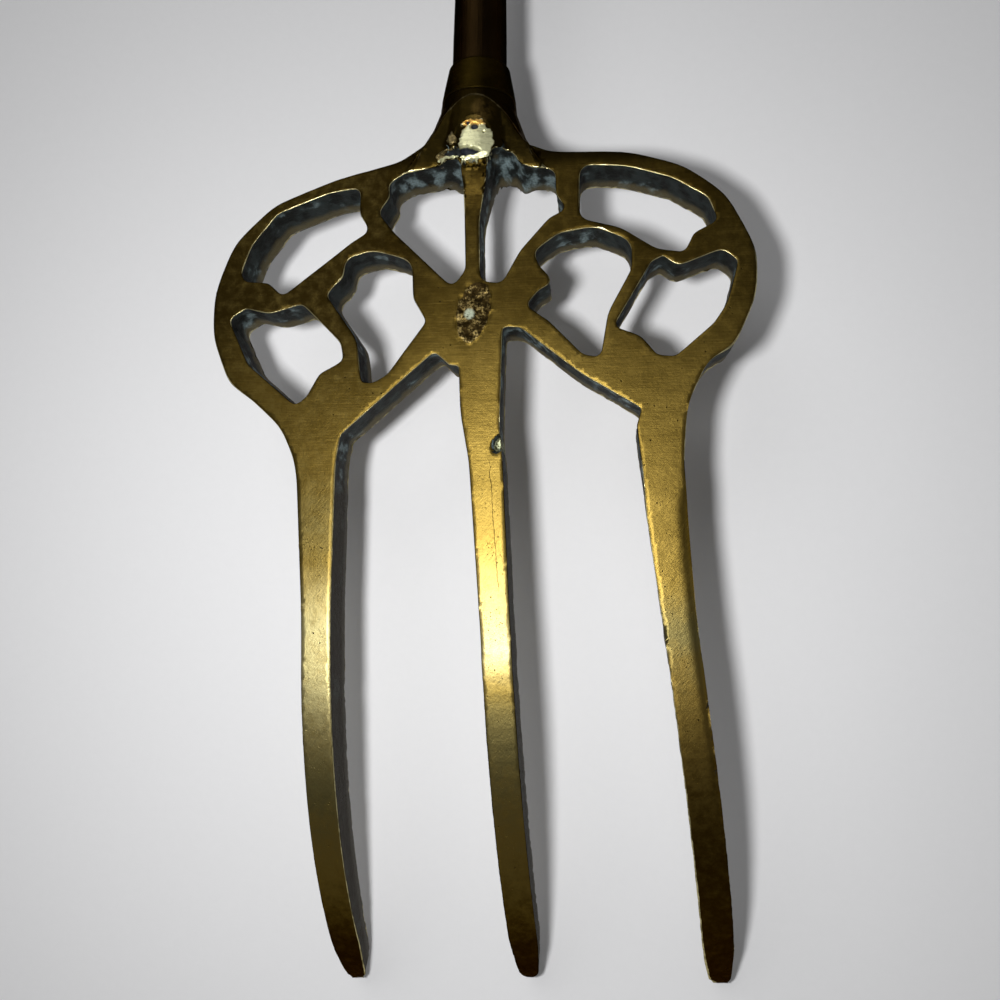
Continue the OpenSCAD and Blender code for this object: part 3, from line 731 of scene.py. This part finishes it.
def cast_brass(finish):
    """Head's brass: brushed and golden on top, crusted in the openings, browned towards the tips, with painted
    highlights and painted shade.
    """
    n = Nodes("Cast brass")
    mm = n.fork_millimetres()
    wall, edge, painted_rim_light = n.attribute("wall"), n.attribute("edge"), n.attribute("painted_rim_light")
    rim_gap, under_gap = n.attribute("rim_gap"), n.attribute("under_gap")
    along, neck = n.attribute("along"), n.attribute("neck")
    pit, notch, slot = n.attribute("pit"), n.attribute("notch"), n.attribute("slot")
    aged_and_painted_shade, paleness_and_painted_highlight, painted_shade = n.attribute("aged_and_painted_shade"), n.attribute("paleness_and_painted_highlight"), n.attribute("painted_shade")
    tine = n.spread(along, 0.0, 0.06)

    # Tarnish in clouds, with file marks across the plate and fine slanting scratches on the tines.
    clouds = n.noise(mm, 0.11, 3.0, 0.6)
    mottle = n.noise(mm, 0.9, 6.0, 0.7)
    grit = n.noise(mm, 4.5, 4.0, 0.7)
    across_marks = n.noise(n.stretched(mm, (0.3, 6.5, 1.0)), 1.0, 3.0, 0.7)
    slant_marks = n.noise(n.stretched(n.turned(mm, 38.0), (6.0, 0.45, 1.0)), 1.0, 3.0, 0.7)
    marks = n.mix(tine, across_marks, slant_marks)
    golden = n.maths("ADD", n.spread(clouds, 0.3, 0.75, 0.0, 0.5), n.spread(along, 0.0, 0.35, 0.0, 0.6))
    golden = n.maths("MULTIPLY", golden, n.spread(mottle, 0.25, 0.8, 0.5, 1.2), clamp=True)
    colour = n.blend(golden, tuple(finish.olive), tuple(finish.gold))
    colour = n.blend(n.spread(marks, 0.5, 0.78, 0.0, 0.35), colour, tuple(1.25 * c for c in finish.gold))
    colour = n.blend(n.spread(marks, 0.5, 0.25, 0.0, 0.5), colour, tuple(0.5 * c for c in finish.olive))
    colour = n.blend(n.spread(grit, 0.54, 0.7, 0.0, 0.45), colour, tuple(0.5 * c for c in finish.olive))

    # Painted highlight: paler colour where the tines bend.
    colour = n.blend(n.maths("MULTIPLY", paleness_and_painted_highlight, n.spread(mottle, 0.3, 0.6, 0.5, 0.95)), colour, (0.42, 0.38, 0.19))
    # Painted shade: darker towards the neck, on the plate's left side and on the spoke's ramp.
    colour = n.blend(n.maths("MULTIPLY", painted_shade, n.spread(mottle, 0.75, 0.4, 0.8, 1.1)), colour, (0.018, 0.011, 0.002))

    # The tines turn from gold over grey-green to brown, from the fire and as painted shade where their highlights
    # fade.
    browned_and_painted_shade = n.maths("ADD", aged_and_painted_shade, n.maths("MULTIPLY", n.maths("SUBTRACT", mottle, 0.5), 0.35))
    colour = n.blend(n.spread(browned_and_painted_shade, 0.05, 0.5, 0.0, 0.8), colour, (0.125, 0.11, 0.045))
    colour = n.blend(n.spread(browned_and_painted_shade, 0.4, 0.75), colour, (0.16, 0.108, 0.025))
    colour = n.blend(n.spread(browned_and_painted_shade, 0.7, 1.05), colour, tuple(finish.fire_brown_and_painted_shade))
    # The neck is darker.
    darkening = n.maths("MULTIPLY", neck, n.spread(mottle, 0.75, 0.45, 0.75, 0.96))
    colour = n.blend(darkening, colour, (0.016, 0.011, 0.0025))
    split = n.make("ShaderNodeSeparateXYZ")
    n.feed(split.inputs[0], mm)
    brushed = n.maths("MULTIPLY", n.spread(n.ball(mm, (1.2, 23.4, 5.0), 2.0), 0.0, 0.7), n.spread(mottle, 0.35, 0.6))
    colour = n.blend(n.maths("MULTIPLY", brushed, 0.8), colour, (0.11, 0.07, 0.02))

    # The neck's metal ends in an arch where it was cast round the ferrule, with a thin painted highlight along it.
    arch = n.maths("MULTIPLY", n.maths("MULTIPLY", split.outputs["X"], split.outputs["X"]), 0.16)
    arch = n.maths("ADD", n.maths("ADD", arch, split.outputs["Y"]), n.maths("MULTIPLY", grit, 0.25))
    beyond = n.maths("MULTIPLY", n.spread(arch, 25.3, 25.5), neck)
    colour = n.blend(n.maths("MULTIPLY", beyond, 0.75), colour, (0.008, 0.005, 0.001))
    arch_painted_highlight = n.spread(n.maths("ABSOLUTE", n.maths("SUBTRACT", arch, 25.4)), 0.14, 0.04)
    arch_painted_highlight = n.maths("MULTIPLY", arch_painted_highlight, n.spread(neck, 0.9, 1.0))
    colour = n.blend(n.maths("MULTIPLY", arch_painted_highlight, n.spread(mottle, 0.4, 0.6, 0.25, 0.8)), colour, (0.16, 0.13, 0.07))

    # Small pits hold dark dirt, and a hairline crack runs down the middle tine.
    specks = n.maths("MULTIPLY", n.spread(n.cells(mm, 1.15), 0.13, 0.05), n.spread(mottle, 0.5, 0.6))
    fine_pits = n.maths("MULTIPLY", n.spread(n.cells(mm, 3.1), 0.2, 0.08), n.spread(n.noise(mm, 0.5, 3.0), 0.5, 0.62))
    specks = n.maths("MAXIMUM", specks, n.maths("MULTIPLY", fine_pits, n.maths("MULTIPLY", tine, 0.6)))
    wander = n.maths("ADD", split.outputs["X"], n.maths("MULTIPLY", n.noise(mm, 0.6, 5.0, 0.6), 0.6))
    crack_line = n.maths("ADD", wander, n.maths("MULTIPLY", split.outputs["Y"], 0.083))
    crack = n.spread(n.maths("ABSOLUTE", n.maths("SUBTRACT", crack_line, 1.0)), 0.035, 0.012)
    crack = n.maths("MULTIPLY", crack, n.spread(n.ball(mm, (2.7, -24.0, 3.0), 8.0), 0.05, 0.25, 0.0, 0.6))
    specks = n.maths("MAXIMUM", specks, crack)
    colour = n.blend(specks, colour, (0.03, 0.018, 0.004))

    # Walls of the openings: dark crust with pale salts, olive towards the lower rim, brown on the tines.
    lumps = n.noise(mm, 1.1, 5.0, 0.65)
    fine_lumps = n.noise(mm, 3.6, 4.0, 0.7)
    soft_lumps = n.noise(n.stretched(mm, (1.0, 1.0, 0.6)), 0.75, 3.0, 0.5)
    near_neck = n.ball(mm, (0.0, 18.0, 0.0), 12.0)
    patches = n.maths("ADD", n.noise(mm, 0.17, 3.0, 0.6), n.maths("MULTIPLY", near_neck, 0.3))
    salts = n.maths("MULTIPLY", n.spread(soft_lumps, 0.46, 0.66), n.spread(patches, 0.5, 0.62, 0.0, 1.0))
    salts = n.maths("MULTIPLY", salts, n.spread(fine_lumps, 0.34, 0.62, 0.45, 1.0))
    salts = n.maths("MULTIPLY", salts, n.spread(rim_gap, 0.3, 1.2, 0.25, 1.0))
    crust = n.blend(n.spread(soft_lumps, 0.6, 0.35), tuple(finish.crust), (0.004, 0.006, 0.006))
    crust = n.blend(salts, crust, tuple(finish.verdigris))
    low = n.spread(n.maths("ADD", under_gap, n.maths("MULTIPLY", soft_lumps, 2.0)), 3.4, 2.0)
    crust = n.blend(n.maths("MULTIPLY", low, 0.85), crust, (0.11, 0.09, 0.045))
    tine_wall = n.blend(n.spread(under_gap, 0.6, 1.8), (0.055, 0.05, 0.042), (0.016, 0.011, 0.004))
    crust = n.blend(n.maths("MULTIPLY", tine, 0.92), crust, tine_wall)
    # Pale lip along the walls' lower rims: a burr's colour, lightened into a painted highlight.
    lip = n.maths("MULTIPLY", n.spread(under_gap, 0.4, 0.12), n.spread(lumps, 0.42, 0.58, 0.1, 0.8))
    crust = n.blend(lip, crust, (0.3, 0.29, 0.24))
    colour = n.blend(wall, colour, crust)

    # Boss pit: golden lumps, dark hollows and one grey-green deposit.
    glints = n.maths("MULTIPLY", n.spread(lumps, 0.44, 0.6), n.spread(fine_lumps, 0.42, 0.62))
    hollow = n.blend(glints, (0.022, 0.014, 0.004), (0.34, 0.25, 0.09))
    deposit = n.maths("MULTIPLY", n.spread(n.ball(mm, (-0.4, -0.1, 3.0), 1.0), 0.25, 0.6), n.spread(fine_lumps, 0.35, 0.5))
    hollow = n.blend(deposit, hollow, (0.36, 0.4, 0.3))
    colour = n.blend(n.spread(pit, 0.3, 0.6), colour, hollow)
    nick = n.blend(n.spread(fine_lumps, 0.4, 0.6), (0.05, 0.045, 0.02), (0.3, 0.32, 0.2))
    colour = n.blend(n.spread(notch, 0.4, 0.6), colour, nick)
    colour = n.blend(n.spread(slot, 0.2, 0.6), colour, (0.02, 0.022, 0.024))

    # Painted highlight on the rims that face the tips and on the tines' inner rims, and painted shade on the other
    # rims.
    rim_light_patches = n.noise(mm, 0.8, 3.0)
    bright = n.maths("MULTIPLY", painted_rim_light, n.spread(rim_light_patches, 0.35, 0.6, 0.35, 1.0))
    rim_colour = n.blend(bright, (0.03, 0.021, 0.005), (0.72, 0.64, 0.34))
    colour = n.blend(edge, colour, rim_colour)
    n.feed(n.shader.inputs["Base Color"], colour)

    pit_dull = n.maths("MULTIPLY", n.spread(pit, 0.3, 0.6), deposit)
    dull = n.maths("MAXIMUM", wall, pit_dull)
    n.feed(n.shader.inputs["Metallic"], n.mix(dull, 1.0, 0.1))
    rough = n.mix(mottle, 0.38, 0.5)
    rough = n.mix(n.spread(browned_and_painted_shade, 0.3, 1.0), rough, 0.5)
    rough = n.mix(edge, rough, 0.36)
    rough = n.mix(dull, rough, 0.75)
    n.feed(n.shader.inputs["Roughness"], rough)
    n.shader.inputs["Specular Tint"].default_value = (0.3, 0.25, 0.18, 1.0)

    relief = n.maths("SUBTRACT", n.maths("MULTIPLY", marks, 0.2), beyond)
    relief = n.maths("SUBTRACT", relief, n.maths("MULTIPLY", specks, 0.9))
    relief = n.maths("ADD", relief, n.maths("MULTIPLY", n.noise(mm, 2.4, 5.0, 0.65), 0.35))
    normal = n.bump(relief, 0.07 * MM)
    rough_skin = n.maths("ADD", n.maths("MULTIPLY", lumps, 0.8), n.maths("MULTIPLY", fine_lumps, 0.35))
    normal = n.bump(n.maths("MULTIPLY", rough_skin, n.maths("MAXIMUM", wall, pit)), 0.4 * MM, 0.6, normal)
    n.feed(n.shader.inputs["Normal"], normal)
    return n.material


def turned_brass(name, colour, streak_colour, lengthwise, edge_tint=(1.0, 1.0, 1.0)):
    """Dark turned brass, with rings round it or with streaks along it."""
    n = Nodes(name)
    mm = n.fork_millimetres()
    stretch = (5.0, 0.12, 5.0) if lengthwise else (0.25, 9.0, 0.25)
    marks = n.noise(n.stretched(mm, stretch), 1.0, 4.0, 0.65)
    clouds = n.noise(mm, 0.22, 4.0, 0.6)
    base = n.blend(n.spread(clouds, 0.3, 0.75), tuple(colour), tuple(streak_colour))
    base = n.blend(n.spread(marks, 0.55, 0.75, 0.0, 0.5), base, tuple(2.2 * c for c in colour))
    n.feed(n.shader.inputs["Base Color"], base)
    n.shader.inputs["Metallic"].default_value = 1.0
    n.shader.inputs["Specular Tint"].default_value = (*edge_tint, 1.0)
    n.feed(n.shader.inputs["Roughness"], n.mix(clouds, 0.32, 0.46))
    n.feed(n.shader.inputs["Normal"], n.bump(marks, 0.04 * MM))
    return n.material


def braze_metal(finish):
    """Pale filler metal, filed and pitted, with a golden facet above and dark hollows."""
    n = Nodes("Braze")
    mm = n.fork_millimetres()
    slot, gold, bright = n.attribute("slot"), n.attribute("gold"), n.attribute("bright")
    marks = n.noise(n.stretched(mm, (0.45, 3.8, 1.5)), 1.0, 4.0, 0.65)
    mottle = n.noise(mm, 1.3, 6.0, 0.7)
    dull = n.blend(n.spread(mottle, 0.42, 0.62), (0.07, 0.052, 0.016), (0.4, 0.31, 0.13))
    pale = n.blend(n.spread(marks, 0.52, 0.36, 0.0, 0.85), tuple(finish.braze), (0.55, 0.54, 0.3))
    pale = n.blend(n.spread(mottle, 0.42, 0.32, 0.0, 0.8), pale, (0.34, 0.31, 0.16))
    base = n.blend(n.spread(bright, 0.3, 0.6), dull, pale)
    base = n.blend(gold, base, (0.85, 0.5, 0.12))
    base = n.blend(n.spread(slot, 0.25, 0.6), base, (0.012, 0.015, 0.022))
    n.feed(n.shader.inputs["Base Color"], base)
    n.feed(n.shader.inputs["Metallic"], n.mix(n.spread(slot, 0.3, 0.7), 0.75, 0.2))
    n.feed(n.shader.inputs["Roughness"], n.mix(n.spread(slot, 0.2, 0.6), n.mix(mottle, 0.32, 0.5), 0.7))
    relief = n.maths("ADD", marks, n.maths("MULTIPLY", mottle, 0.4))
    n.feed(n.shader.inputs["Normal"], n.bump(relief, 0.06 * MM))
    return n.material


def dress(piece, material):
    piece.data.materials.clear()
    piece.data.materials.append(material)


def dress_node(node, material):
    """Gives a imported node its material."""
    dressed = frame["nodes"][node]
    if not dressed.material_slots:
        dressed.data.materials.append(material)
    for material_slot in dressed.material_slots:
        material_slot.material = material


class FORK_OT_head(Operator):
    """Adds the cast head with its openwork plate and three bent tines"""
    bl_idname = "toasting_fork.head"
    bl_label = "Cast head"

    def execute(self, context):
        settings = context.scene.fork_casting
        head = diced("cast_head", "fork_head", settings.grain / MM, settings.edge_width)
        even_outline(head.data, settings.opening_rounds, settings.outline_rounds)
        carve_head(head, settings)
        mask_head(head)
        even_shading(head)
        dress(head, cast_brass(context.scene.fork_finish))
        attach(head, "fork")
        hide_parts("fork_head")
        return {"FINISHED"}


class FORK_OT_braze(Operator):
    """Adds the pale bead of filler metal on top of the neck"""
    bl_idname = "toasting_fork.braze"
    bl_label = "Braze bead"

    def execute(self, context):
        bead = pool_braze(bpy.data.objects["cast_head"])
        dress(bead, braze_metal(context.scene.fork_finish))
        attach(bead, "fork")
        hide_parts("neck_braze")
        return {"FINISHED"}


class FORK_OT_handle(Operator):
    """Gives the rod and its two ferrules their dark turned brass"""
    bl_idname = "toasting_fork.handle"
    bl_label = "Rod and ferrules"

    def execute(self, context):
        rod = context.scene.fork_finish.rod
        darkening = (0.0, 0.0, 0.0)
        dress_node("shaft", turned_brass("Rod brass", rod, tuple(1.5 * c for c in rod), True, darkening))
        olive = context.scene.fork_finish.olive
        ferrule = turned_brass(
            "Ferrule brass", tuple(0.12 * c for c in olive), tuple(0.28 * c for c in olive), False, darkening)
        dress_node("neck_ferrule", ferrule)
        dress_node("end_ferrule", ferrule)
        return {"FINISHED"}


class FORK_OT_finial(Operator):
    """Gives the finial and the ring's rivet their turned brass"""
    bl_idname = "toasting_fork.finial"
    bl_label = "Finial and rivet"

    def execute(self, context):
        finish = context.scene.fork_finish
        brass = turned_brass("Finial brass", finish.olive, finish.gold, False)
        dress_node("finial", brass)
        dress_node("ring_rivet", turned_brass("Rivet brass", finish.gold, finish.olive, False))
        return {"FINISHED"}


class FORK_OT_ring(Operator):
    """Gives the hanging ring its cast brass"""
    bl_idname = "toasting_fork.ring"
    bl_label = "Hanging ring"

    def execute(self, context):
        finish = context.scene.fork_finish
        dress_node("hanging_ring", turned_brass("Ring brass", finish.olive, finish.gold, False))
        return {"FINISHED"}


def add_lamp(name, power, size, where, aim):
    light = bpy.data.lights.new(name, "AREA")
    light.shape = "DISK"
    light.size = size
    light.energy = power
    lamp = bpy.data.objects.new(name, light)
    lamp.location = where
    lamp.rotation_euler = (Vector(where) - Vector(aim)).to_track_quat("Z", "Y").to_euler()
    bpy.context.scene.collection.objects.link(lamp)
    return lamp


def add_camera():
    """Camera close above the head, as the head was photographed."""
    data = bpy.data.cameras.new("Camera")
    data.sensor_width = 36.0
    data.lens = 33.48
    data.clip_start = 0.005
    camera = bpy.data.objects.new("Camera", data)
    right = Vector((0.99427, 0.01136, -0.10630))
    up = Vector((0.0, 0.99433, 0.10630))
    back = Vector((0.10690, -0.10569, 0.98864))
    turned = FORK_AXES @ Matrix((right, up, back)).transposed()
    camera.matrix_world = Matrix.Translation(place(14.32, -32.15, 104.43)) @ turned.to_4x4()
    bpy.context.scene.collection.objects.link(camera)
    bpy.context.scene.camera = camera


def table_material(colour, backdrop):
    """Pale table that holds the fork's shadow and fades into the plain backdrop further out."""
    n = Nodes("Table")
    mm = n.fork_millimetres()
    grain = n.noise(mm, 0.9, 5.0, 0.6)
    n.feed(n.shader.inputs["Base Color"], n.blend(n.spread(grain, 0.3, 0.7, 0.0, 0.25), tuple(colour),
                                                  tuple(0.96 * c for c in colour)))
    n.shader.inputs["Roughness"].default_value = 0.85
    n.feed(n.shader.inputs["Normal"], n.bump(grain, 0.03 * MM, 0.5))
    glow = n.make("ShaderNodeEmission")
    glow.inputs["Strength"].default_value = backdrop
    mixed = n.make("ShaderNodeMixShader")
    n.feed(mixed.inputs[0], n.spread(n.ball(mm, (0.0, 150.0, 0.0), 900.0), 0.85, 0.25))
    n.feed(mixed.inputs[1], n.shader.outputs[0])
    n.feed(mixed.inputs[2], glow.outputs[0])
    output = n.tree.nodes["Material Output"]
    n.feed(output.inputs[0], mixed.outputs[0])
    return n.material


def set_world(backdrop):
    """Sky of a plain studio: pale at eye level and dark overhead."""
    world = bpy.data.worlds.new("Studio")
    bpy.context.scene.world = world
    world.use_nodes = True
    tree = world.node_tree
    tree.nodes.clear()
    coordinates = tree.nodes.new("ShaderNodeTexCoord")
    split = tree.nodes.new("ShaderNodeSeparateXYZ")
    ramp = tree.nodes.new("ShaderNodeMapRange")
    background = tree.nodes.new("ShaderNodeBackground")
    output = tree.nodes.new("ShaderNodeOutputWorld")
    ramp.inputs["From Min"].default_value = 0.05
    ramp.inputs["From Max"].default_value = 0.85
    ramp.inputs["To Min"].default_value = backdrop
    ramp.inputs["To Max"].default_value = 0.06
    tree.links.new(coordinates.outputs["Generated"], split.inputs[0])
    tree.links.new(split.outputs["Z"], ramp.inputs["Value"])
    path = tree.nodes.new("ShaderNodeLightPath")
    seen = tree.nodes.new("ShaderNodeMapRange")
    seen.inputs["To Min"].default_value = 0.55
    seen.inputs["To Max"].default_value = 1.0
    tree.links.new(path.outputs["Is Camera Ray"], seen.inputs["Value"])
    strength = tree.nodes.new("ShaderNodeMath")
    strength.operation = "MULTIPLY"
    tree.links.new(ramp.outputs[0], strength.inputs[0])
    tree.links.new(seen.outputs[0], strength.inputs[1])
    tree.links.new(strength.outputs[0], background.inputs["Strength"])
    background.inputs["Color"].default_value = (1.0, 1.0, 1.0, 1.0)
    tree.links.new(background.outputs[0], output.inputs[0])


class FORK_OT_stage(Operator):
    """Adds the pale table, the lamps and the camera"""
    bl_idname = "toasting_fork.stage"
    bl_label = "Stage"

    def execute(self, context):
        settings = context.scene.fork_stage
        bm = bmesh.new()
        bmesh.ops.create_grid(bm, x_segments=1, y_segments=1, size=3.0)
        mesh = bpy.data.meshes.new("table")
        bm.to_mesh(mesh)
        bm.free()
        table = link_mesh("table", mesh)
        table.location.z = -0.0001
        dress(table, table_material(settings.table, settings.backdrop))
        add_lamp("Head lamp", settings.lamp_power, 0.014, place(-9.7, -32, 106), place(0, -20, 0))
        add_lamp("Handle softbox", settings.softbox_power, 0.5, (-0.24, 0.34, 0.5), (0.0, 0.08, 0.0))
        set_world(settings.backdrop)
        add_camera()
        context.scene.view_settings.view_transform = "Standard"
        return {"FINISHED"}


class FORK_PT_panel(Panel):
    """Pieces of the toasting fork"""
    bl_idname = "FORK_PT_panel"
    bl_label = "Toasting Fork"
    bl_space_type = "VIEW_3D"
    bl_region_type = "UI"
    bl_category = "Toasting Fork"

    def draw(self, context):
        for operator in OPERATORS:
            self.layout.operator(operator.bl_idname)
        for settings in ("fork_casting", "fork_finish", "fork_stage"):
            group = getattr(context.scene, settings)
            for name in group.bl_rna.properties.keys():
                if name not in {"rna_type", "name"}:
                    self.layout.prop(group, name)


SETTINGS = (CastingSettings, FinishSettings, StageSettings)
OPERATORS = (FORK_OT_stage, FORK_OT_head, FORK_OT_braze, FORK_OT_handle, FORK_OT_finial, FORK_OT_ring)


def register():
    for cls in (*SETTINGS, *OPERATORS, FORK_PT_panel):
        bpy.utils.register_class(cls)
    bpy.types.Scene.fork_casting = PointerProperty(type=CastingSettings)
    bpy.types.Scene.fork_finish = PointerProperty(type=FinishSettings)
    bpy.types.Scene.fork_stage = PointerProperty(type=StageSettings)


def unregister():
    del bpy.types.Scene.fork_stage
    del bpy.types.Scene.fork_finish
    del bpy.types.Scene.fork_casting
    for cls in reversed((*SETTINGS, *OPERATORS, FORK_PT_panel)):
        bpy.utils.unregister_class(cls)


def main():
    register()
    bpy.ops.toasting_fork.stage()
    bpy.ops.toasting_fork.head()
    bpy.ops.toasting_fork.braze()
    bpy.ops.toasting_fork.handle()
    bpy.ops.toasting_fork.finial()
    bpy.ops.toasting_fork.ring()


if __name__ == "__main__":
    main()
